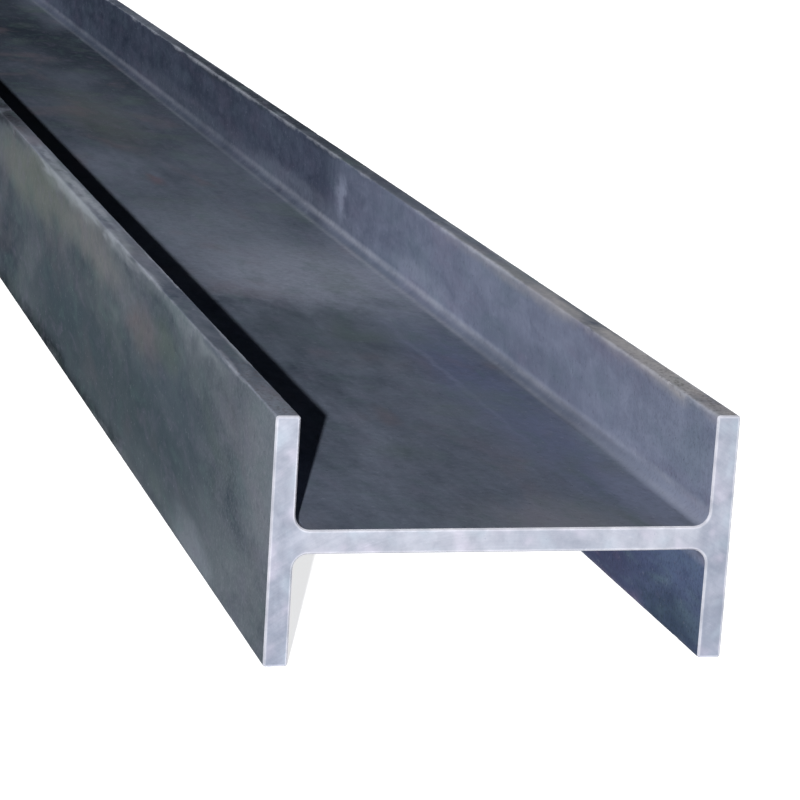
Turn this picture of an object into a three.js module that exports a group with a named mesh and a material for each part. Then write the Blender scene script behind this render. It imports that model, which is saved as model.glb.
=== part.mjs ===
// A length of hot-rolled steel I-beam, lying on the tips of its flanges with the web level.
// Millimetres, +Z up. +X runs along the beam, +Y across its depth from flange to flange.
// The origin is on the ground, below the middle of the beam.
import * as THREE from "three";

// The section, as it leaves the rolling mill.
const sectionDepth = 310; // over the outer faces of the two flanges
const flangeWidth = 165; // from tip to tip, and the height of the beam as it lies
const flangeThickness = 16; // the same from root to tip: the flanges are parallel
const webThickness = 16;
const rootRadius = 10; // rolled fillet between web and flange
const tipRadius = 1.5; // rolled arris along the tips of the flanges

// The length, as it leaves the cold saw.
const beamLength = 6000;
const sawnArris = 1; // the sharp edge of each sawn end, filed back

const arcDivisions = 6; // half the number of facets in each quarter circle
const quarterTurn = Math.PI / 2;

// The section is drawn about its own centre: x across the depth, y along the flanges.
const flangeOuter = sectionDepth / 2;
const flangeInner = flangeOuter - flangeThickness;
const tipHeight = flangeWidth / 2;
const webFace = webThickness / 2;
const tipArc = Math.min(tipRadius, flangeThickness / 2 - sawnArris);
const rootArc = Math.min(rootRadius, tipHeight - webFace - tipArc, flangeInner);

// One flange with the fillets at its root, anticlockwise from the lower web face to the
// upper one. Each arc is joined to the last by a straight face of the section.
function addFlange(outline, turn) {
  const addArc = (x, y, radius, start, end) => {
    const centre = new THREE.Vector2(x, y).rotateAround(new THREE.Vector2(), turn);
    const clockwise = end < start;
    outline.absarc(centre.x, centre.y, radius, start + turn, end + turn, clockwise);
  };
  const rootX = flangeInner - rootArc;
  const rootY = webFace + rootArc;
  const tipY = tipHeight - tipArc;

  addArc(rootX, -rootY, rootArc, quarterTurn, 0);
  addArc(flangeInner + tipArc, -tipY, tipArc, 2 * quarterTurn, 3 * quarterTurn);
  addArc(flangeOuter - tipArc, -tipY, tipArc, 3 * quarterTurn, 4 * quarterTurn);
  addArc(flangeOuter - tipArc, tipY, tipArc, 0, quarterTurn);
  addArc(flangeInner + tipArc, tipY, tipArc, quarterTurn, 2 * quarterTurn);
  addArc(rootX, rootY, rootArc, 0, -quarterTurn);
}

// Turning the first flange half a turn about the middle of the web gives the other one,
// and the two web faces close the outline between them.
function beamSection() {
  const outline = new THREE.Shape();
  addFlange(outline, 0);
  addFlange(outline, Math.PI);
  return outline;
}

// The section drawn out to length. The bevel takes the arris off both sawn ends inside
// the section and the length.
function rolledBeam() {
  const fullSectionLength = beamLength - 2 * sawnArris;
  const geometry = new THREE.ExtrudeGeometry(beamSection(), {
    depth: fullSectionLength,
    curveSegments: arcDivisions,
    bevelEnabled: true,
    bevelThickness: sawnArris,
    bevelSize: sawnArris,
    bevelOffset: -sawnArris,
    bevelSegments: 1,
  });
  const millScaleSteel = new THREE.MeshStandardMaterial({
    color: 0x555f6b,
    roughness: 0.55,
    metalness: 0.6,
  });
  const beam = new THREE.Mesh(geometry, millScaleSteel);
  beam.name = "rolled_beam";
  // Turned so that the section's x lies along +Y, its y along +Z and the length along +X.
  beam.rotation.set(quarterTurn, quarterTurn, 0);
  beam.position.set(-fullSectionLength / 2, 0, tipHeight);
  return beam;
}

const steelBeam = new THREE.Group();
steelBeam.add(rolledBeam());

export default steelBeam;
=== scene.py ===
import math

import bpy
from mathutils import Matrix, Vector


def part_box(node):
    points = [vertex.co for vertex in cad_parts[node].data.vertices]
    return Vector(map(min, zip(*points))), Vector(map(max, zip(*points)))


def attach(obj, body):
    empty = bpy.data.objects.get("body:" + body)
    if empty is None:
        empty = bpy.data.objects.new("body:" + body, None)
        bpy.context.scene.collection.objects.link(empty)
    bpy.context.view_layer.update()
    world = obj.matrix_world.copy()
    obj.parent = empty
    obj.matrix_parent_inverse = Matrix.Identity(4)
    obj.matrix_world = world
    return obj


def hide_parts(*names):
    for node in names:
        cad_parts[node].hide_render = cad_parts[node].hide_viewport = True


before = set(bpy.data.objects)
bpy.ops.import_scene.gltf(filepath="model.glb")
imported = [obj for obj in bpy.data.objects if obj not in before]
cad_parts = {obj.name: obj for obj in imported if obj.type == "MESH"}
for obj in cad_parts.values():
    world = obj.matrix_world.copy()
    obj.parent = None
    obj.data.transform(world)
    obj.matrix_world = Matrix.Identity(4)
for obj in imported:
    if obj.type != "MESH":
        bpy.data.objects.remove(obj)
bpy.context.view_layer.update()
beamLow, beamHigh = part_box("rolled_beam")
beamSpan = beamHigh - beamLow  # length, depth over the flanges, flange width
halfSpan = beamSpan / 2
midHeight = beamLow.z + halfSpan.z  # of the web, which lies level
print("frame loaded, beam spans", [round(side, 3) for side in beamSpan])


class Wire:
    # one output of a node; sums on wires and numbers add Math nodes
    def __init__(self, graph, node, output):
        self.graph = graph
        self.node = node
        self.output = output

    @property
    def socket(self):
        return pickSocket(self.node.outputs, self.output)

    def out(self, name):
        return Wire(self.graph, self.node, name)

    def maths(self, operation, *values):
        return self.graph.maths(operation, *values)

    def __add__(self, other):
        return self.maths("ADD", self, other)

    def __radd__(self, other):
        return self.maths("ADD", other, self)

    def __sub__(self, other):
        return self.maths("SUBTRACT", self, other)

    def __rsub__(self, other):
        return self.maths("SUBTRACT", other, self)

    def __mul__(self, other):
        return self.maths("MULTIPLY", self, other)

    def __rmul__(self, other):
        return self.maths("MULTIPLY", other, self)

    def __truediv__(self, other):
        return self.maths("DIVIDE", self, other)

    def __rtruediv__(self, other):
        return self.maths("DIVIDE", other, self)

    def __neg__(self):
        return self.maths("MULTIPLY", self, -1)

    def __abs__(self):
        return self.maths("ABSOLUTE", self)

    def __gt__(self, other):
        return self.maths("GREATER_THAN", self, other)

    def __lt__(self, other):
        return self.maths("LESS_THAN", self, other)


def pickSocket(sockets, name):
    # by its number, its identifier or its name
    if isinstance(name, int):
        return sockets[name]
    return next(s for s in sockets if name in (s.identifier, s.name) and s.enabled)


class Graph:
    # a tree of nodes, with one method that adds any of them
    def __init__(self, tree):
        self.tree = tree

    def feed(self, node, sockets):
        for name, value in sockets.items():
            socket = pickSocket(node.inputs, name)
            if isinstance(value, Wire):
                self.tree.links.new(value.socket, socket)
            else:
                socket.default_value = value

    def node(self, kind, settings=None, sockets=None, output=0):
        node = self.tree.nodes.new(kind)
        for name, value in (settings or {}).items():
            setattr(node, name, value)
        self.feed(node, sockets or {})
        return Wire(self, node, output)

    def maths(self, operation, *values):
        return self.node("ShaderNodeMath", {"operation": operation}, dict(enumerate(values)))

    def vector(self, operation, *values):
        return self.node("ShaderNodeVectorMath", {"operation": operation}, dict(enumerate(values)))

    def length(self, vector):
        return self.vector("LENGTH", vector).out("Value")

    def split(self, vector):
        parts = self.node("ShaderNodeSeparateXYZ", {}, {"Vector": vector})
        return parts.out("X"), parts.out("Y"), parts.out("Z")

    def join(self, x, y, z):
        return self.node("ShaderNodeCombineXYZ", {}, {"X": x, "Y": y, "Z": z})

    def fade(self, value, start, end):
        # 0 at start and 1 at end, eased at both
        spread = {"Value": value, "From Min": start, "From Max": end}
        return self.node("ShaderNodeMapRange", {"interpolation_type": "SMOOTHSTEP"}, spread)

    def noise(self, place, scale, detail=3, roughness=0.55, distortion=0):
        sockets = {"Vector": place, "Scale": scale, "Detail": detail}
        sockets |= {"Roughness": roughness, "Distortion": distortion}
        return self.node("ShaderNodeTexNoise", {}, sockets)

    def smaller(self, *values):
        return self.maths("MINIMUM", *values)

    def larger(self, *values):
        return self.maths("MAXIMUM", *values)


class Finish(Graph):
    # a material whose colour is laid in coats before its Principled shader is fed
    def __init__(self, name):
        self.material = bpy.data.materials.new(name)
        self.material.use_nodes = True
        super().__init__(self.material.node_tree)

    def mix(self, factor, first, second):
        sockets = {"Factor": factor, "A": first, "B": second}
        settings = {"data_type": "RGBA", "clamp_factor": True}
        return self.node("ShaderNodeMix", settings, sockets, "Result_Color")

    def coat(self, amount, colour):
        self.colour = self.mix(amount, self.colour, colour)

    def bump(self, strength, relief):
        # relief in metres
        sockets = {"Strength": strength, "Distance": 1.0, "Height": relief}
        return self.node("ShaderNodeBump", {}, sockets)

    def seal(self, sockets):
        self.feed(self.tree.nodes["Principled BSDF"], sockets)
        return self.material


# Depths and distances, in metres, over which the masks of the section fade.
maskEdges = {
    "skin": (0.0009, 0.0004),  # under an outer face or a flange tip
    "webStop": 0.002,  # short of the flange, where the web's mask has gone
    "inboard": (0.010, 0.001),  # in from the outer face, and out from the inner one
}


class Zones:
    # where a point lies on the section, as masks from 0 to 1
    def __init__(self, finish, sizes, edges):
        self.finish = finish
        self.place = finish.node("ShaderNodeTexCoord", {}, {}, "Object")
        self.along, self.across, self.up = finish.split(self.place)
        self.fromEnd = beamHigh.x - self.along
        self.side = abs(self.across)
        self.level = self.up - midHeight
        self.height = abs(self.level)

        self.outer = halfSpan.y
        self.tip = halfSpan.z
        self.inner = self.outer - sizes["flangeThickness"]
        self.web = sizes["webThickness"] / 2
        self.root = sizes["rootRadius"]

        fade = finish.fade
        deep, shallow = edges["skin"]
        fromOuter, fromInner = edges["inboard"]
        self.onOuter = fade(self.side, self.outer - deep, self.outer - shallow)
        self.onTip = fade(self.height, self.tip - deep, self.tip - shallow)
        self.onWeb = fade(self.side, self.inner - edges["webStop"], self.inner - self.root)
        self.onInner = (1 - self.onWeb) * (1 - self.onOuter) * (1 - self.onTip)
        self.inboard = fade(self.side, self.outer - fromOuter, self.inner + fromInner)

    def depth(self):
        # how far inside its own outline a point of the sawn face lies
        finish = self.finish
        reach = self.side - (self.inner - self.root)
        drop = (self.web + self.root) - self.height
        corner = finish.length(finish.join(finish.larger(reach, 0), finish.larger(drop, 0), 0))
        past = finish.smaller(finish.larger(reach, drop), 0)
        toChannel = corner + past - self.root
        toFlange = finish.smaller(self.outer - self.side, self.tip - self.height)
        return finish.smaller(toChannel, toFlange)


class SteelFinish(Finish):
    # a finish that knows the section, with patterns from its own look
    def __init__(self, name, look, sizes):
        super().__init__(name)
        self.look = look
        self.zone = Zones(self, sizes, maskEdges)

    def pattern(self, name):
        # noise from about 0 to 1
        squeeze, shift, *settings = self.look["patterns"][name]
        place = self.vector("MULTIPLY_ADD", self.zone.place, squeeze, shift)
        return self.noise(place, *settings)

    def swing(self, name):
        # noise to either side of 0
        return self.pattern(name) - 0.5

    def patch(self, name):
        # where a pattern is strong enough to show
        return self.fade(self.pattern(name), *self.look["shows"][name])

    def stretch(self, name, place=None):
        # from 0 to 1 between two places along the beam
        place = self.zone.fromEnd if place is None else place
        return self.fade(place, *self.look["stretches"][name])


def tint(red, green, blue):
    # a colour on the usual 0 to 255 scale, as Blender mixes it
    return (*[((part / 255 + 0.055) / 1.055) ** 2.4 for part in (red, green, blue)], 1)


even = (1, 1, 1)  # a pattern that isn't squeezed
still = (0, 0, 0)  # a pattern that isn't shifted

# The near end is the sawn end at +X. Places along the beam are metres from it.
millScaleLook = {
    # each kind of face runs from its first colour to its second
    "web": (tint(70, 78, 90), tint(122, 130, 147)),
    "outerFace": (tint(58, 68, 78), tint(116, 123, 130)),
    # lighter than the web and outer faces: painted light on the inner faces
    "innerFace": (tint(100, 108, 129), tint(138, 145, 167)),
    # painted shade on the inner faces beyond about a metre from the near end
    "farInnerFace": (tint(40, 47, 64), tint(86, 93, 112)),
    # darker and bluer: painted shade on the inner faces under the web
    "lowerFace": (tint(60, 68, 97), tint(92, 103, 134)),
    "tip": (tint(70, 78, 94), tint(140, 146, 158)),
    # colours laid over those
    # painted shade farther from the near end, where less light falls
    "deep": tint(44, 52, 62),
    # painted shade in the root fillets' hollows, and its painted highlight at the near end
    "hollow": tint(72, 78, 90),
    "paleRoot": tint(130, 137, 156),
    "pit": tint(40, 42, 48),
    "grit": tint(92, 88, 90),
    "fleck": tint(158, 164, 178),
    "bareAndHighlight": tint(188, 192, 204),
    "chafe": tint(150, 156, 164),
    "roughness": {"plain": 0.82, "mottle": 0.3, "grain": 0.2, "edge": 0.25},
    "metallic": 0.4,  # where an edge is rubbed bare, and on the painted highlight lines of the root fillets
    "edgeWidth": 0.0042,  # how far the worn light edge of a flange tip can reach
    "chafeWidth": 0.012,  # how far the duller chafing beside it can reach
    "ragged": 0.006,  # how far the rim of the chafing wanders
    "stainEdge": (1.0, 0.25),  # of its reach, where a mark starts to show and shows in full
    # the painted highlight lines of a root fillet: the way from the fillet's end, how far
    # that shrinks along the beam and again further on, and the width
    "flangeLine": (0.0002, 0.0026, 0, 0.0048),
    "webLine": (0.0056, 0.0017, 0.0015, 0.0034),
    # each pattern: how it is squeezed along, across and up, how it is shifted, and its noise's
    # scale, detail, roughness and distortion
    "patterns": {
        "broad": ((0.35, 1, 1), still, 6, 2, 0.5, 0.3),
        "cloud": ((0.35, 1, 1), still, 22, 3, 0.55, 0.6),
        "blot": ((0.4, 1, 1), still, 60, 3, 0.6, 0.4),
        "mottle": (even, still, 170, 3, 0.65),
        "grain": (even, still, 560, 3, 0.65),
        "streak": ((62, 6, 6), still, 1, 3, 0.6),
        "rollLine": ((0.7, 120, 120), still, 1, 3, 0.55),
        "hue": ((0.5, 1, 1), (0, 3.1, 0), 13, 3, 0.55, 0.4),
        "fineHue": ((0.4, 1, 1), (0, 0, 9.7), 48, 3, 0.6, 0.5),
        "innerHue": ((0.25, 1, 1), (0, 0, 5.3), 34, 3, 0.6, 0.4),
        "pit": (even, still, 210, 3, 0.7),
        "fleck": ((0.7, 1, 1), still, 240, 3, 0.72, 0.3),
        "rubbed": ((8, 40, 40), still, 1, 4, 0.7),
        "chafed": ((7, 40, 40), still, 1, 3, 0.6, 0.4),
        "grit": (even, still, 380, 2, 0.6),
    },
    # how far each pattern moves a face between its two colours
    "clouding": {
        "broad": 1.5,
        "cloud": 0.8,
        "blot": 0.6,
        "mottle": 0.4,
        "grain": 0.1,
        "rollLine": 0.4,
        "streak": 0.6,
        "lines": 0.5,  # rollLine and streak together
    },
    # the strength of a pattern at which it starts to show, and at which it shows in full
    "shows": {
        "pit": (0.62, 0.70),
        "fleck": (0.60, 0.70),
        "rubbed": (0.38, 0.62),
        "chafed": (0.40, 0.65),
        "grit": (0.50, 0.64),
    },
    # where along the beam something starts to change, and where it has changed
    "stretches": {
        # painted shade: the inner faces dark beyond about a metre, and each face darker farther
        # from the near end
        "innerDark": (0.95, 1.13),
        "innerDusk": (0.55, 1.10),
        "innerDeep": (1.15, 1.60),
        "darkEases": (2.70, 4.20),
        "webDim": (0.95, 1.70),
        "webDimmer": (1.80, 2.30),
        "outerDim": (0.35, 0.85),
        "outerLifts": (1.00, 1.30),
        # painted highlight and painted shade in the root fillets
        "rootPales": (0.30, 0.05),
        "hollowWeakens": (0.40, 0.80),
        "tipsRest": (0.50, 0.70),
        "tipsStillRest": (1.60, 1.30),
        "chafeStarts": (0.35, 0.60),
        "gritAtEnd": (0.30, 0.08),
        "linesClose": (0.10, 0.35),
        "linesFaint": (0.08, 0.15),
        "linesStillFaint": (0.40, 0.28),
        "flangeLineWeakens": (1.00, 1.40),
        "webLineCloses": (0.50, 0.90),
        "webLineWeakens": (0.90, 1.50),
    },
    # how much of a change shows
    "strengths": {
        # painted shade on the inner faces and farther from the near end
        "innerDusk": 0.5,
        "innerDeep": 0.3,
        "darkEases": 0.6,
        "webDim": 0.55,
        "webDimmer": 0.3,
        "outerDim": 0.42,
        "outerLifts": 0.3,
        # painted shade in the root fillets
        "hollow": 0.6,
        "hollowWeakens": 0.3,
        "pit": 0.15,
        "fleck": 0.12,
        "chafeBelow": 0.2,
        "chafeAbove": 0.4,  # on top of that
        "gritOnTip": 0.5,
        "gritOnOuter": 0.1,
        "gritOnInner": 0.12,
        "leastEdge": 0.08,
        "rubbedEdge": 0.42,  # on top of that
        "edgeBelow": 0.3,
        "edgeAbove": 0.7,  # on top of that
        "tipsRest": 0.85,
        # the painted highlights of the root fillets
        "flangeLine": 0.46,
        "webLine": 0.2,
        "bareAndHighlight": 0.8,
    },
    # faint tinges: the pattern and the two strengths between which it comes, how strong it
    # is, how much of that an outer face loses, its faces and its colour
    "tinges": {
        "rust": ("hue", 0.54, 0.72, 0.28, 0.16, "flat", tint(116, 104, 110)),
        "moss": ("hue", 0.46, 0.28, 0.32, 0.1, "flat", tint(92, 108, 102)),
        "violet": ("fineHue", 0.52, 0.72, 0.18, 0, "flat", tint(112, 108, 128)),
        "teal": ("fineHue", 0.48, 0.3, 0.2, 0, "flat", tint(86, 108, 108)),
        "mauve": ("innerHue", 0.5, 0.7, 0.16, 0, "inner", tint(128, 110, 136)),
        "sea": ("innerHue", 0.5, 0.3, 0.2, 0, "inner", tint(98, 120, 130)),
    },
    "bump": 0.8,
    # heights of the relief, in metres
    "heights": {
        "grain": 0.00009,
        "mottle": 0.0002,
        "blot": 0.0005,
        "lines": 0.0001,
        "pit": 0.00015,
    },
}

# stains and painted light on each kind of face: middle (from the end, across, up), reach the
# same three ways, colour, strength
stainsAndPaintedLight = {
    "outside": {
        "endRub": ((0.01, -0.155, 0.112), (0.12, 0.02, 0.080), tint(138, 146, 156), 0.34),
        "topRub": ((0.30, -0.155, 0.160), (0.17, 0.02, 0.012), tint(136, 144, 152), 0.4),
        "farRub": ((0.84, -0.155, 0.160), (0.32, 0.02, 0.014), tint(146, 152, 156), 0.45),
        "footRub": ((0.25, -0.155, 0.012), (0.10, 0.02, 0.022), tint(134, 142, 152), 0.5),
        "rustBloom": ((0.47, -0.155, 0.118), (0.11, 0.02, 0.028), tint(116, 106, 108), 0.5),
        "mossBloom": ((0.37, -0.155, 0.128), (0.08, 0.02, 0.020), tint(92, 104, 94), 0.5),
        "paleScale": ((0.72, -0.155, 0.138), (0.22, 0.02, 0.028), tint(120, 121, 122), 0.6),
        "oliveScale": ((1.06, -0.155, 0.136), (0.36, 0.02, 0.040), tint(112, 117, 110), 0.55),
        "blueHeart": ((0.35, -0.155, 0.082), (0.24, 0.02, 0.074), tint(68, 80, 90), 0.55),
        "blueFoot": ((0.80, -0.155, 0.060), (0.28, 0.02, 0.030), tint(70, 82, 94), 0.6),
        "darkBelt": ((0.64, -0.155, 0.044), (0.60, 0.02, 0.066), tint(60, 72, 78), 0.65),
        # painted shade along the foot of the outer face
        "footShade": ((0.90, -0.155, -0.004), (0.74, 0.02, 0.024), tint(28, 34, 38), 0.8),
    },
    "web": {
        # painted sheen, lighter where the web catches the light
        "sheen": ((0.84, 0.060, 0.090), (0.22, 0.150, 0.02), tint(152, 158, 174), 0.62),
        # painted sheen, fading farther on
        "sheenTail": ((1.05, 0.020, 0.090), (0.26, 0.110, 0.02), tint(128, 136, 150), 0.45),
        "warmPatch": ((0.01, 0.040, 0.090), (0.08, 0.045, 0.02), tint(142, 135, 141), 0.7),
        # painted sheen at the near end
        "endSheen": ((0.00, 0.050, 0.090), (0.10, 0.110, 0.02), tint(120, 124, 136), 0.65),
        "inkyStrip": ((0.34, 0.098, 0.090), (0.44, 0.050, 0.02), tint(98, 106, 136), 0.6),
        "greyNear": ((0.18, 0.045, 0.090), (0.34, 0.075, 0.02), tint(106, 113, 130), 0.45),
        "rollStreak": ((0.48, 0.0837, 0.090), (0.32, 0.0045, 0.02), tint(120, 126, 150), 0.34),
        "deepPatch": ((0.60, 0.020, 0.090), (0.16, 0.100, 0.02), tint(70, 80, 86), 0.35),
        "redMark": ((0.30, -0.002, 0.090), (0.05, 0.012, 0.02), tint(104, 96, 102), 0.4),
        "redFleck": ((1.36, 0.018, 0.090), (0.06, 0.012, 0.02), tint(108, 92, 98), 0.5),
        "browning": ((1.80, 0.030, 0.090), (0.34, 0.060, 0.02), tint(90, 94, 90), 0.45),
        "blueEdge": ((0.06, 0.118, 0.090), (0.12, 0.026, 0.02), tint(118, 125, 147), 0.6),
        # painted sheen beside the root fillet
        "rootSheen": ((0.86, 0.126, 0.090), (0.26, 0.032, 0.02), tint(136, 142, 158), 0.4),
    },
    "flanges": {
        "tipTaupe": ((0.17, 0.148, 0.166), (0.46, 0.018, 0.006), tint(170, 168, 170), 0.9),
        "tipBleed": ((0.30, 0.139, 0.166), (0.60, 0.010, 0.012), tint(156, 155, 160), 0.5),
        "tipOutside": ((1.15, 0.157, 0.166), (0.70, 0.009, 0.006), tint(72, 76, 86), 0.55),
        "tipRub": ((0.86, -0.1465, 0.165), (0.36, 0.0062, 0.006), tint(168, 174, 184), 0.6),
        "tipShade": ((0.19, -0.147, 0.165), (0.16, 0.020, 0.006), tint(76, 84, 98), 0.75),
        "tipEnd": ((0.01, -0.147, 0.165), (0.06, 0.020, 0.006), tint(132, 138, 152), 0.4),
        "tipDark": ((1.34, -0.148, 0.165), (0.25, 0.020, 0.010), tint(44, 47, 54), 0.9),
        "tipFar": ((1.48, 0.147, 0.165), (0.85, 0.020, 0.008), tint(54, 60, 70), 0.9),
        # painted highlight along the top of each root fillet, raised or dimmed along the beam
        "rootDim": ((0.42, 0.139, 0.110), (0.20, 0.010, 0.024), tint(98, 105, 124), 0.35),
        "rootGlint": ((0.74, 0.139, 0.108), (0.14, 0.010, 0.016), tint(144, 151, 170), 0.45),
        "rootPale": ((1.24, 0.139, 0.104), (0.40, 0.010, 0.022), tint(116, 123, 139), 0.4),
        "rootFar": ((1.85, 0.139, 0.104), (0.50, 0.010, 0.022), tint(104, 111, 126), 0.25),
        "edgeStreak": ((1.035, 0.139, 0.130), (0.030, 0.010, 0.030), tint(150, 157, 178), 0.5),
        # painted shade low on the inner face under the web, near the near end
        "dusk": ((0.23, 0.139, 0.020), (0.15, 0.012, 0.050), tint(60, 62, 84), 0.65),
        "teal": ((0.05, 0.139, 0.055), (0.07, 0.012, 0.030), tint(100, 120, 146), 0.3),
        # painted shade at the foot of the inner face under the web
        "tealFoot": ((0.06, 0.139, 0.008), (0.11, 0.012, 0.030), tint(52, 66, 80), 0.7),
    },
}


class MillScale(SteelFinish):
    # the skin of rolled steel, in coats from the broad clouds down to the rubbed edges
    def __init__(self, look, sizes):
        super().__init__("millScaleSteel", look, sizes)
        zone = self.zone
        self.broad = self.swing("broad")
        self.cloud = self.swing("cloud")
        self.blot = self.swing("blot")
        self.mottle = self.swing("mottle")
        self.grain = self.swing("grain")
        self.streak = self.swing("streak")
        clouding, strengths = look["clouding"], look["strengths"]
        onWeb = self.swing("rollLine") * zone.onWeb * clouding["rollLine"]
        self.lines = onWeb + self.streak * zone.onInner * clouding["streak"]
        self.rubbed = self.patch("rubbed")

        # painted shade: the inner faces are dark over a long stretch, with a softer start and an
        # eased end
        dark = self.stretch("innerDark", zone.fromEnd + self.streak * 0.1 + self.blot * 0.1)
        dusk = self.stretch("innerDusk", zone.fromEnd + self.cloud * 0.3) * strengths["innerDusk"]
        eases = self.stretch("darkEases", zone.fromEnd + self.broad * 2 + self.streak * 0.1)
        self.easing = 1 - eases * strengths["darkEases"]
        self.dark = self.larger(dark, dusk) * self.easing
        # the inner faces under the web, which get painted shade
        self.lower = zone.onInner * (zone.level < 0)

    def faceColour(self, shade):
        # the first or the second colour of whichever face this is, with painted light on the inner
        # faces and painted shade far along them and under the web
        look, zone = self.look, self.zone
        inner = self.mix(self.dark, look["innerFace"][shade], look["farInnerFace"][shade])
        colour = self.mix(zone.onOuter, look["web"][shade], look["outerFace"][shade])
        colour = self.mix(zone.onInner, colour, inner)
        colour = self.mix(self.lower, colour, look["lowerFace"][shade])
        return self.mix(zone.onTip, colour, look["tip"][shade])

    def layGround(self):
        # clouds drawn out along the roll, streaks across the flanges, lines along the web
        onInner, clouding = self.zone.onInner, self.look["clouding"]
        mottling = self.blot * clouding["blot"] * (1 + onInner * 0.8)
        mottling = mottling + self.mottle * clouding["mottle"]
        tone = 0.5 + self.broad * (clouding["broad"] - onInner) + self.cloud * clouding["cloud"]
        tone = tone + mottling + self.grain * clouding["grain"] + self.lines * clouding["lines"]
        tone = self.smaller(self.larger(tone, 0), 1)
        self.colour = self.mix(tone, self.faceColour(0), self.faceColour(1))

    def darkenFarther(self):
        # painted shade: web, outer and inner faces darker farther from the near end, where less
        # light falls
        zone, broad, strengths = self.zone, self.broad, self.look["strengths"]
        place = zone.fromEnd + broad * 0.6
        web = self.stretch("webDim", place) * (strengths["webDim"] - broad)
        dimmer = self.stretch("webDimmer", zone.fromEnd + broad) * strengths["webDimmer"]
        web = (web + dimmer) * zone.onWeb
        outer = self.stretch("outerDim", place) * (strengths["outerDim"] - broad) * zone.onOuter
        outer = outer * (1 - self.stretch("outerLifts") * strengths["outerLifts"])
        inner = self.stretch("innerDeep", zone.fromEnd + self.cloud * 0.4)
        inner = inner * strengths["innerDeep"] * zone.onInner
        self.coat((web * 0.95 + inner) * self.easing + outer, self.look["deep"])

    def stainAndPaintLight(self, marks):
        # with ragged edges, and each stain or painted mark on its own kind of face only
        zone, cloud, blot = self.zone, self.cloud, self.blot
        wander = self.join(cloud * 0.1 + blot * 0.05, blot * 0.012, cloud * 0.03)
        spot = self.vector("ADD", self.join(zone.fromEnd, zone.across, zone.up), wander)
        faces = {"outside": zone.onOuter, "web": zone.onWeb, "flanges": 1 - zone.onWeb}
        for face, faceMarks in marks.items():
            unstained = self.colour
            for middle, reach, colour, strength in faceMarks.values():
                offset = self.vector("DIVIDE", self.vector("SUBTRACT", spot, middle), reach)
                inside = self.fade(self.length(offset), *self.look["stainEdge"])
                self.coat(inside * strength * (1 + self.mottle), colour)
            self.colour = self.mix(faces[face], unstained, self.colour)

    def tinge(self):
        zone = self.zone
        hues = {name: self.pattern(name) for name in ("hue", "fineHue", "innerHue")}
        faces = {
            "flat": 1 - zone.onInner,
            "inner": zone.onInner * (1 - self.dark * 0.6) * (1 + self.lower),
        }
        for hue, start, full, strength, outerLoss, face, colour in self.look["tinges"].values():
            amount = strength - zone.onOuter * outerLoss if outerLoss else strength
            self.coat(self.fade(hues[hue], start, full) * amount * faces[face], colour)

    def shadeRoots(self):
        # painted shade in the hollow of each root fillet, and a painted highlight there at the near
        # end
        look, zone, root = self.look, self.zone, self.zone.root
        strengths = look["strengths"]
        hollow = self.fade(zone.side, zone.inner - root, zone.inner - root * 0.7)
        hollow = hollow * self.fade(zone.height, zone.web + root, zone.web + root * 0.6)
        hollow = hollow * zone.inboard
        colour = self.mix(self.stretch("rootPales"), look["hollow"], look["paleRoot"])
        weakening = self.stretch("hollowWeakens") * strengths["hollowWeakens"]
        self.coat(hollow * (strengths["hollow"] - weakening), colour)

    def pitAndFleck(self):
        look, strengths = self.look, self.look["strengths"]
        self.pit = self.patch("pit")
        self.coat(self.pit * strengths["pit"], look["pit"])
        self.coat(self.patch("fleck") * strengths["fleck"], look["fleck"])

    def chafeFlanges(self):
        # dull chafing along the flange arrises, more of it above the web than below
        look, zone, chafed = self.look, self.zone, self.patch("chafed")
        below, above = look["strengths"]["chafeBelow"], look["strengths"]["chafeAbove"]
        width = look["chafeWidth"] * (0.15 + chafed)
        fromArris = self.larger(zone.outer - zone.side, zone.tip - zone.height)
        fromArris = fromArris + self.mottle * look["ragged"]
        chafe = self.fade(fromArris, width, width * 0.2) * chafed
        chafe = chafe * (below + (zone.level > 0) * above)
        chafe = chafe * self.stretch("chafeStarts") * (1 + self.blot * 1.5)
        self.coat(chafe * (1 - self.dark * zone.onTip), look["chafe"])

    def scatterGrit(self):
        # next to the near end only
        look, zone, strengths = self.look, self.zone, self.look["strengths"]
        grit = self.patch("grit") * self.stretch("gritAtEnd")
        onInner = strengths["gritOnInner"]
        self.coat(grit * zone.onTip * strengths["gritOnTip"], look["grit"])
        self.coat(grit * zone.onOuter * strengths["gritOnOuter"], look["fleck"])
        self.coat(grit * zone.onInner * (onInner + self.lower * onInner), look["pit"])

    def tipEdges(self):
        # the arrises of the flange tips, most of them hardly rubbed over one stretch
        zone, strengths = self.zone, self.look["strengths"]
        width = self.look["edgeWidth"] * (0.25 + self.rubbed)
        nearTip = self.fade(zone.height, zone.tip - width, zone.tip)
        outer = self.smaller(nearTip, self.fade(zone.side, zone.outer - width, zone.outer))
        inner = self.smaller(nearTip, self.fade(zone.side, zone.inner + width, zone.inner))
        resting = self.stretch("tipsRest") * self.stretch("tipsStillRest")
        quiet = 1 - resting * strengths["tipsRest"]
        outer = outer * quiet
        inner = inner * (1 - (1 - quiet) * (zone.across < 0))
        edge = self.larger(outer, inner)
        edge = edge * (strengths["leastEdge"] + self.rubbed * strengths["rubbedEdge"])
        return edge * (strengths["edgeBelow"] + (zone.level > 0) * strengths["edgeAbove"])

    def rootHighlight(self, place, fromFillet, name):
        # a painted highlight line; fromFillet is where the fillet ends, in the same measure as
        # place
        offset, closing, laterClosing, width = self.look[name]
        line = fromFillet + offset - self.stretch("linesClose") * closing
        if laterClosing:
            line = line - self.stretch("webLineCloses") * laterClosing
        return self.fade(abs(place - line), width, 0)

    def rootHighlights(self):
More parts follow.
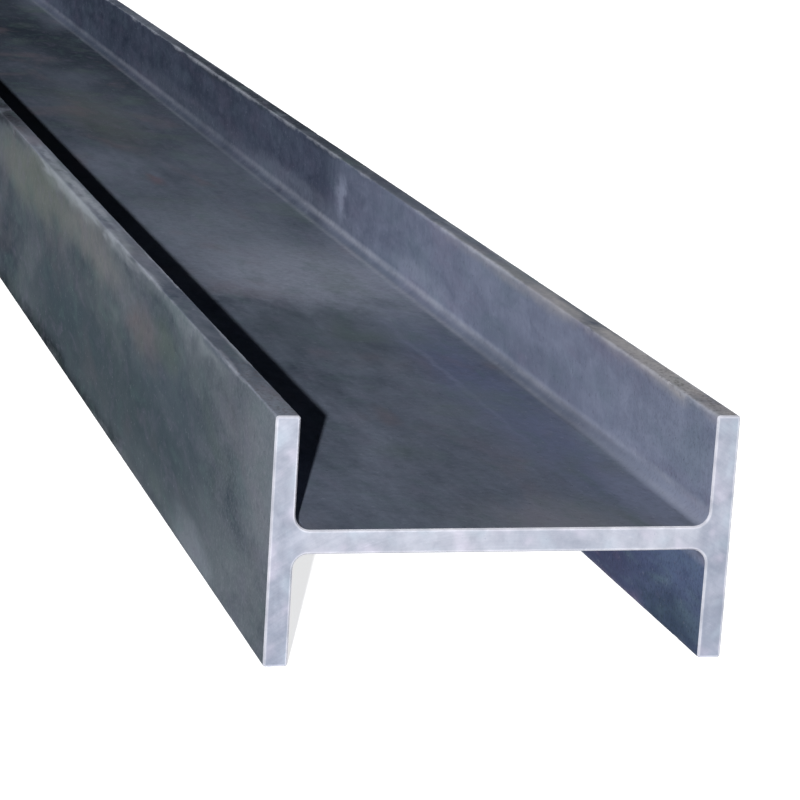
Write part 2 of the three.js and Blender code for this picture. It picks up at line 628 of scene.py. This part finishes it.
        # the two painted highlight lines that bound each root fillet
        zone, strengths = self.zone, self.look["strengths"]
        onFlange = self.rootHighlight(zone.height, zone.web + zone.root, "flangeLine")
        strength = 0.75 + self.stretch("linesClose") * 0.1 - self.stretch("flangeLineWeakens") * 0.5
        onFlange = onFlange * strength
        onWeb = self.rootHighlight(zone.side, zone.inner - zone.root, "webLine")
        onWeb = onWeb * (1 - self.stretch("webLineWeakens") * 0.5)
        faint = 1 - self.stretch("linesFaint") * self.stretch("linesStillFaint") * 0.5
        lines = onFlange * strengths["flangeLine"] + onWeb * strengths["webLine"]
        return lines * faint * zone.inboard * (0.5 + self.rubbed * 0.5)

    def rubEdgesAndRootHighlights(self):
        # pale worn arrises on the flange tips, and the painted highlights of the root fillets, in
        # one colour
        self.edge = self.larger(self.tipEdges(), self.rootHighlights()) * (1 + self.mottle)
        self.coat(self.edge * self.look["strengths"]["bareAndHighlight"], self.look["bareAndHighlight"])

    def relief(self):
        heights = self.look["heights"]
        relief = self.grain * heights["grain"] + self.mottle * heights["mottle"]
        relief = relief + self.blot * heights["blot"] + self.lines * heights["lines"]
        return relief - self.pit * heights["pit"]

    def roughness(self):
        rough = self.look["roughness"]
        dull = rough["plain"] + self.mottle * rough["mottle"] + self.grain * rough["grain"]
        return dull - self.edge * rough["edge"]


def makeMillScale(look, marks, sizes):
    scale = MillScale(look, sizes)
    scale.layGround()
    scale.darkenFarther()
    scale.stainAndPaintLight(marks)
    scale.tinge()
    scale.shadeRoots()
    scale.pitAndFleck()
    scale.chafeFlanges()
    scale.scatterGrit()
    scale.rubEdgesAndRootHighlights()
    sockets = {
        "Base Color": scale.colour,
        "Roughness": scale.roughness(),
        "Metallic": scale.edge * look["metallic"],
        "Specular IOR Level": 0.0,
        "Normal": scale.bump(look["bump"], scale.relief()),
    }
    return scale.seal(sockets)


sawnLook = {
    "steel": tint(134, 138, 150),
    "pale": tint(162, 164, 174),
    "dull": tint(109, 116, 132),
    # painted highlight round the outline of a sawn face
    "rim": tint(194, 194, 202),
    "warm": tint(182, 173, 189),
    "cool": tint(155, 170, 181),
    "speck": tint(112, 119, 137),
    "roughness": {"plain": 0.38, "blotch": 0.3},
    "metallic": 0.75,
    "bladeRadius": 0.27,  # the saw came up from below, and left its arcs
    "markDensity": 560,
    "rimWidth": 0.0022,
    "rimFull": 0.0007,  # how near the outline the painted highlight is at its palest
    "flangeFrom": 0.012,  # how far short of a flange the metal starts to look duller
    # as for the mill scale
    "patterns": {
        "cloud": (even, still, 13, 3, 0.5, 0.3),
        "blotch": (even, still, 70, 4, 0.6, 0.4),
        "speck": (even, still, 330, 3, 0.7),
        "grain": (even, still, 1100, 2, 0.6),
        "hue": (even, still, 48, 2, 0.5),
    },
    # how far each moves the metal from dull to pale, from where it starts
    "clouding": {
        "start": 0.68,
        "cloud": 1.2,
        "blotch": 0.8,
        "sawLine": 0.5,
        "speck": 0.5,
        "up": 3,  # for each metre
        "flange": -0.4,
        "across": -0.5,  # for each metre
    },
    # how much of each colour shows
    "strengths": {"steel": 0.35, "hue": 0.3, "speck": 0.45, "rim": 0.55},
    "bump": 0.5,
    "heights": {"sawLine": 0.00012, "blotch": 0.0001, "grain": 0.00003},
}


def makeSawnSteel(look, sizes):
    sawn = SteelFinish("sawnSteel", look, sizes)
    zone, across = sawn.zone, sawn.zone.across
    blade = look["bladeRadius"]
    arc = zone.up - sawn.maths("SQRT", blade * blade - across * across)
    sawMarks = sawn.join(arc * look["markDensity"], zone.along, across * 4)
    sawLine = sawn.noise(sawMarks, 1, 3, 0.7) - 0.5
    cloud = sawn.swing("cloud")
    blotch = sawn.swing("blotch")
    speck = sawn.swing("speck")
    hue = sawn.pattern("hue")

    # dull to pale, with the flanges duller than the web, then a little warm and cool
    clouding, strengths = look["clouding"], look["strengths"]
    onFlange = sawn.fade(zone.side, zone.inner - look["flangeFrom"], zone.inner)
    tone = clouding["start"] + cloud * clouding["cloud"] + blotch * clouding["blotch"]
    tone = tone + sawLine * clouding["sawLine"] + speck * clouding["speck"]
    tone = tone + zone.level * clouding["up"]
    tone = tone + onFlange * clouding["flange"] + across * clouding["across"]
    sawn.colour = sawn.mix(tone, look["dull"], look["pale"])
    sawn.coat(strengths["steel"], look["steel"])
    sawn.coat(sawn.fade(hue, 0.5, 0.75) * strengths["hue"], look["warm"])
    sawn.coat(sawn.fade(hue, 0.5, 0.25) * strengths["hue"], look["cool"])
    sawn.coat(sawn.fade(speck, 0.14, 0.22) * strengths["speck"], look["speck"])
    # a painted highlight round the outline, where the filed edge catches the light
    rim = sawn.fade(zone.depth(), look["rimWidth"], look["rimFull"])
    sawn.coat(rim * (strengths["rim"] + blotch * 1.2), look["rim"])

    heights = look["heights"]
    relief = sawLine * heights["sawLine"] + blotch * heights["blotch"]
    relief = relief + sawn.pattern("grain") * heights["grain"]
    sockets = {
        "Base Color": sawn.colour,
        "Roughness": look["roughness"]["plain"] + blotch * look["roughness"]["blotch"],
        "Metallic": look["metallic"],
        "Normal": sawn.bump(look["bump"], relief),
    }
    return sawn.seal(sockets)


beamSizes = {
    "flangeThickness": 0.016,
    "webThickness": 0.016,
    "rootRadius": 0.010,
    "tipRadius": 0.0015,
    "sawnArris": 0.001,  # the filed edge of each sawn end
    "shoulder": 0.003,  # how near to a fillet a flat face gets its extra line
    "shortest": 0.06,  # a flat face with less room than this gets none
    "rootFacets": 7,
    "tipFacets": 4,
    "smoothUnder": 36,  # degrees, past which an edge shows as sharp
    "rings": 1060,  # along the length, with the two sawn faces
    "crowding": 0.55,  # how much closer the rings lie at the ends than in the middle
    "arrisWear": 0.0006,  # the most that even wear takes off a flange arris
    "wearScale": 45,
    "nickDepth": 0.0016,  # the most that a nick adds to that
    "nickScale": 26,
    "nickFrom": 0.62,  # how strong its noise is where a nick starts, and where it is deepest
    "nickFull": 0.75,
    "seed": 4.0,  # slides wear and nicks along the beam
}


def sectionCorners(sizes):
    # (across, up, radius) of each corner, anticlockwise; the second flange is the first, turned
    outer, tip = halfSpan.y, halfSpan.z
    inner = outer - sizes["flangeThickness"]
    web = sizes["webThickness"] / 2
    root, arris = sizes["rootRadius"], sizes["tipRadius"]
    flange = [
        (inner, -web, root),
        (inner, -tip, arris),
        (outer, -tip, arris),
        (outer, tip, arris),
        (inner, tip, arris),
        (inner, web, root),
    ]
    return flange + [(-across, -up, radius) for across, up, radius in flange]


def withShoulders(corners, shoulder, shortest):
    # a point just past each fillet keeps the flat faces flat in smooth shading
    drawn = []
    for here, after in zip(corners, corners[1:] + corners[:1]):
        start, end = Vector(here[:2]), Vector(after[:2])
        along = (end - start).normalized()
        drawn.append(here)
        room = (end - start).length - here[2] - after[2]
        if room > shortest:
            drawn.append((*(start + along * (here[2] + shoulder)), 0))
            drawn.append((*(end - along * (after[2] + shoulder)), 0))
    return drawn


def drawSection(sizes):
    drawn = withShoulders(sectionCorners(sizes), sizes["shoulder"], sizes["shortest"])
    count = len(drawn)
    mesh = bpy.data.meshes.new("section")
    edges = [(i, (i + 1) % count) for i in range(count)]
    mesh.from_pydata([(across, up, 0) for across, up, _ in drawn], edges, [])
    radius = mesh.attributes.new("cornerRadius", "FLOAT", "POINT")
    for point, (_, _, value) in zip(radius.data, drawn):
        point.value = value
    section = bpy.data.objects.new("steel_beam", mesh)
    bpy.context.scene.collection.objects.link(section)
    return section


class Rolling(Graph):
    # a Geometry Nodes tree with named inputs
    def __init__(self, name):
        tree = bpy.data.node_groups.new(name, "GeometryNodeTree")
        super().__init__(tree)
        for side in ("INPUT", "OUTPUT"):
            tree.interface.new_socket("Geometry", in_out=side, socket_type="NodeSocketGeometry")
        self.inlet = self.node("NodeGroupInput")
        self.values = {}

    def size(self, name, value, kind="NodeSocketFloat"):
        item = self.tree.interface.new_socket(name, in_out="INPUT", socket_type=kind)
        self.values[item.identifier] = value
        return self.inlet.out(name)

    def read(self, name, kind="FLOAT"):
        settings = {"data_type": kind}
        return self.node("GeometryNodeInputNamedAttribute", settings, {"Name": name}, "Attribute")

    def store(self, geometry, name, value, kind="FLOAT"):
        settings = {"data_type": kind, "domain": "POINT"}
        sockets = {"Geometry": geometry, "Name": name, "Value": value}
        return self.node("GeometryNodeStoreNamedAttribute", settings, sockets)

    def applyTo(self, thing, geometry):
        self.node("NodeGroupOutput", {}, {"Geometry": geometry})
        modifier = thing.modifiers.new(self.tree.name, "NODES")
        modifier.node_group = self.tree
        for identifier, value in self.values.items():
            modifier[identifier] = value
        return bakedMesh(thing, modifier)


def bakedMesh(thing, modifier):
    # the evaluated result as a plain mesh, with the modifier gone
    evaluated = thing.evaluated_get(bpy.context.evaluated_depsgraph_get())
    mesh = bpy.data.meshes.new_from_object(evaluated)
    thing.modifiers.remove(modifier)
    drawing = thing.data
    thing.data = mesh
    bpy.data.meshes.remove(drawing)
    return thing


def rollBeam(section, sizes, millScale, sawnSteel):
    roll = Rolling("rollBeam")
    length = roll.size("Length", beamSpan.x)
    middle = roll.size("Mid Height", midHeight)
    halfWidth = roll.size("Half Width", halfSpan.z)
    rings = roll.size("Rings", sizes["rings"], "NodeSocketInt")
    crowding = roll.size("Crowding", sizes["crowding"])
    rootFacets = roll.size("Root Facets", sizes["rootFacets"], "NodeSocketInt")
    tipFacets = roll.size("Tip Facets", sizes["tipFacets"], "NodeSocketInt")
    tipRadius = roll.size("Tip Radius", sizes["tipRadius"])
    sawnArris = roll.size("Sawn Arris", sizes["sawnArris"])
    arrisWear = roll.size("Arris Wear", sizes["arrisWear"])
    nickDepth = roll.size("Nick Depth", sizes["nickDepth"])
    seed = roll.size("Seed", sizes["seed"])
    halfLength = length / 2

    # the section: corners rounded, each point keeping its place and the way out of the steel
    radius = roll.read("cornerRadius")
    facets = tipFacets + (radius > tipRadius * 2) * (rootFacets - tipFacets)
    outline = roll.node("GeometryNodeMeshToCurve", {}, {"Mesh": roll.inlet})
    rounding = {"Curve": outline, "Count": facets, "Radius": radius}
    rounded = roll.node("GeometryNodeFilletCurve", {"mode": "POLY"}, rounding)
    tangent = roll.node("GeometryNodeInputTangent")
    outward = roll.vector("CROSS_PRODUCT", tangent, (0, 0, 1))
    here = roll.node("GeometryNodeInputPosition")
    rounded = roll.store(rounded, "drawn", here, "FLOAT_VECTOR")
    rounded = roll.store(rounded, "outward", outward, "FLOAT_VECTOR")

    # the length: one ring at each sawn face, the rest between the filed edges
    line = roll.node("GeometryNodeCurvePrimitiveLine", {}, {"Start": (-1, 0, 0), "End": (1, 0, 0)})
    spacing = {"Curve": line, "Count": rings}
    line = roll.node("GeometryNodeResampleCurve", {"mode": "COUNT"}, spacing)
    ring = roll.node("GeometryNodeInputIndex")
    step = (ring - 1) / (rings - 3) * 2 - 1
    inside = roll.smaller(roll.larger(step, -1), 1)
    crowded = inside + crowding * roll.maths("SINE", inside * math.pi) / math.pi
    isEnd = abs(step) > 1.0001  # the first ring and the last
    along = crowded * (halfLength - sawnArris) + isEnd * roll.maths("SIGN", step) * sawnArris
    line = roll.store(line, "along", along)

    swept = {"Curve": line, "Profile Curve": rounded, "Fill Caps": True}
    swept = roll.node("GeometryNodeCurveToMesh", {}, swept)
    along = roll.read("along")
    across, up, _ = roll.split(roll.read("drawn", "FLOAT_VECTOR"))
    placed = roll.join(along, across, up + middle)

    # the filed edge at each end, and the worn and nicked arrises of the flange tips
    outX, outY, _ = roll.split(roll.read("outward", "FLOAT_VECTOR"))
    filed = (abs(along) > halfLength - sawnArris / 2) * sawnArris  # the outline of a sawn face
    corner = roll.smaller(abs(outX * outY) * 2, 1)  # 1 halfway round an arc, 0 on a flat face
    onTip = (abs(up) > halfWidth - tipRadius * 1.05) * corner
    shifted = roll.vector("ADD", placed, roll.join(seed, 0, 0))
    wear = roll.noise(shifted, sizes["wearScale"], 3) * arrisWear
    dents = roll.noise(shifted, sizes["nickScale"], 4, 0.6)
    nicks = roll.fade(dents, sizes["nickFrom"], sizes["nickFull"]) * nickDepth
    inset = -(filed + onTip * (wear + nicks))
    placed = roll.vector("ADD", placed, roll.join(0, outX * inset, outY * inset))
    swept = roll.node("GeometryNodeSetPosition", {}, {"Geometry": swept, "Position": placed})

    sawn = abs(along) > halfLength - sawnArris * 0.75  # each sawn face with its filed edge
    swept = roll.node("GeometryNodeRealizeInstances", {}, {"Geometry": swept})
    covered = {"Geometry": swept, "Material": millScale}
    swept = roll.node("GeometryNodeSetMaterial", {}, covered)
    covered = {"Geometry": swept, "Selection": sawn, "Material": sawnSteel}
    swept = roll.node("GeometryNodeSetMaterial", {}, covered)
    beam = roll.applyTo(section, swept)

    beam.data.name = beam.name
    for name in ("cornerRadius", "drawn", "outward", "along"):
        if name in beam.data.attributes:
            beam.data.attributes.remove(beam.data.attributes[name])
    beam.data.shade_smooth()
    beam.data.set_sharp_from_angle(angle=math.radians(sizes["smoothUnder"]))
    return beam


mapLayout = {
    "name": "OFBake",  # the name of the map
    "gap": 0.004,  # between the parts of the map
    "endBand": 0.17,  # the share of its height that the two sawn ends get
    "arrisBand": 0.003,  # the share of its width that a filed edge gets
    "fine": 2.4,  # how much more room flange tips and root fillets get than flat faces
    "slack": 0.0005,  # how far past the inner face a root fillet may still be taken to lie
}


def roundSection(mesh, count, layout, sizes):
    # how far round the section each of its points lies, from 0 to 1
    tip = halfSpan.z - sizes["tipRadius"] - sizes["shoulder"]
    inner = halfSpan.y - sizes["flangeThickness"]
    channel = inner - sizes["rootRadius"] - sizes["shoulder"]
    reach = sizes["webThickness"] / 2 + sizes["rootRadius"] + sizes["shoulder"]
    middle = Vector((0, 0, midHeight))
    first = len(mesh.vertices) // count // 2 * count  # of the ring halfway along
    points = [mesh.vertices[first + i].co - middle for i in range(count)]
    places = [0]
    for here, after in zip(points, points[1:] + points[:1]):
        side, level = abs(here.y + after.y) / 2, abs(here.z + after.z) / 2
        atRoot = channel < side < inner + layout["slack"] and level < reach
        room = layout["fine"] if level > tip or atRoot else 1
        places.append(places[-1] + math.dist(here.yz, after.yz) * room)
    return [place / places[-1] for place in places]


def placeOnEnd(point, isNear, layout):
    # the two sawn ends lie side by side at the foot of the map
    gap, band = layout["gap"], layout["endBand"]
    u = gap + (point.y - beamLow.y) / beamSpan.y * (0.5 - 2 * gap) + 0.5 * isNear
    v = gap + (point.z - beamLow.z) / beamSpan.z * (band - 2 * gap)
    return u, v


def placeOnLength(point, around, isNear, layout, sizes):
    # each half of the length has a row of its own, with the sawn end at its start
    gap, band, arris = layout["gap"], layout["endBand"], layout["arrisBand"]
    filed = sizes["sawnArris"]
    fromEnd = halfSpan.x - point.x if isNear else halfSpan.x + point.x
    u = min(fromEnd / filed, 1) * arris
    if fromEnd > filed:
        u += (fromEnd - filed) / (halfSpan.x - filed) * (1 - arris)
    rowHeight = (1 - band) / 2
    v = band + rowHeight * isNear + gap + around * (rowHeight - 2 * gap)
    return gap + u * (1 - 2 * gap), v


def layMap(beam, layout, sizes):
    # a flat map for textures: the length folded in two rows above the two sawn ends
    mesh = beam.data
    count = max(len(face.vertices) for face in mesh.polygons)  # as many as a sawn end has
    around = roundSection(mesh, count, layout, sizes)
    uv = mesh.uv_layers.new(name=layout["name"])
    for face in mesh.polygons:
        isNear = face.center.x > 0
        isEnd = len(face.vertices) == count
        steps = [vertex % count for vertex in face.vertices]
        for corner, step in zip(face.loop_indices, steps):
            point = mesh.vertices[mesh.loops[corner].vertex_index].co
            if isEnd:
                uv.data[corner].uv = placeOnEnd(point, isNear, layout)
            else:
                closes = step == 0 and max(steps) > 1  # the last face round ends at 1, not at 0
                place = around[count if closes else step]
                uv.data[corner].uv = placeOnLength(point, place, isNear, layout, sizes)


section = drawSection(beamSizes)
millScale = makeMillScale(millScaleLook, stainsAndPaintedLight, beamSizes)
sawnSteel = makeSawnSteel(sawnLook, beamSizes)
print("section drawn, mill scale and sawn steel mixed")
steelBeam = rollBeam(section, beamSizes, millScale, sawnSteel)
layMap(steelBeam, mapLayout, beamSizes)
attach(steelBeam, "root")
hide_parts("rolled_beam")
steelBeam.data.calc_loop_triangles()
print("beam rolled,", len(steelBeam.data.loop_triangles), "triangles")


stage = {
    "floorReach": 90.0,
    "floorColour": (0.8, 0.8, 0.8, 1),
    "floorLift": 0.75,  # added where the floor is seen, so that it shows white
    "white": (1, 1, 1, 1),
    "fill": 0.015,  # white light from all round
    # the way each sun's light goes, its strength, and the angle it seems to fill
    "suns": {
        "keyLight": ((-0.932, 0.286, -0.222), 7.9, 0.7),
        "backLight": ((0.70, -0.70, -0.13), 3.0, 8.0),
    },
}


def seenRays(graph):
    # 1 for what the camera sees, straight or mirrored or through glass
    path = graph.node("ShaderNodeLightPath")
    rays = [path.out(f"Is {ray} Ray") for ray in ("Camera", "Glossy", "Transmission")]
    return graph.larger(graph.larger(rays[0], rays[1]), rays[2])


def layFloor(look):
    mesh = bpy.data.meshes.new("floor")
    side = look["floorReach"]
    corners = [(-side, -side, 0), (side, -side, 0), (side, side, 0), (-side, side, 0)]
    mesh.from_pydata(corners, [], [(0, 1, 2, 3)])
    finish = Finish("paleFloor")
    sockets = {
        "Base Color": look["floorColour"],
        "Roughness": 1.0,
        "Specular IOR Level": 0.0,
        "Emission Color": look["white"],
        "Emission Strength": seenRays(finish) * look["floorLift"],
    }
    mesh.materials.append(finish.seal(sockets))
    floor = bpy.data.objects.new("floor", mesh)
    bpy.context.scene.collection.objects.link(floor)


def hangSun(name, travel, strength, angle):
    lamp = bpy.data.lights.new(name, "SUN")
    lamp.energy = strength
    lamp.angle = math.radians(angle)
    sun = bpy.data.objects.new(name, lamp)
    sun.rotation_euler = Vector(travel).to_track_quat("-Z", "Y").to_euler()
    bpy.context.scene.collection.objects.link(sun)


def lightScene(look):
    for name, (travel, strength, angle) in look["suns"].items():
        hangSun(name, travel, strength, angle)
    world = bpy.data.worlds.new("paleRoom")
    world.use_nodes = True
    bpy.context.scene.world = world
    room = Graph(world.node_tree)
    strength = look["fill"] + seenRays(room) * (1 - look["fill"])
    background = world.node_tree.nodes["Background"]
    room.feed(background, {"Color": look["white"], "Strength": strength})


cameraSetting = {
    "place": (4.86199, -0.58896, 0.61790),
    "turn": (77.068, -3.4914, 75.3858),  # degrees
    "lens": 141.32,  # millimetres, and so is the sensor
    "sensor": 36,
}


def setCamera(setting):
    lens = bpy.data.cameras.new("camera")
    lens.lens = setting["lens"]
    lens.sensor_width = setting["sensor"]
    camera = bpy.data.objects.new("camera", lens)
    camera.location = setting["place"]
    camera.rotation_euler = [math.radians(turn) for turn in setting["turn"]]
    bpy.context.scene.collection.objects.link(camera)
    bpy.context.scene.camera = camera


layFloor(stage)
lightScene(stage)
setCamera(cameraSetting)
bpy.context.scene.view_settings.view_transform = "Standard"
print("floor, light and camera set")
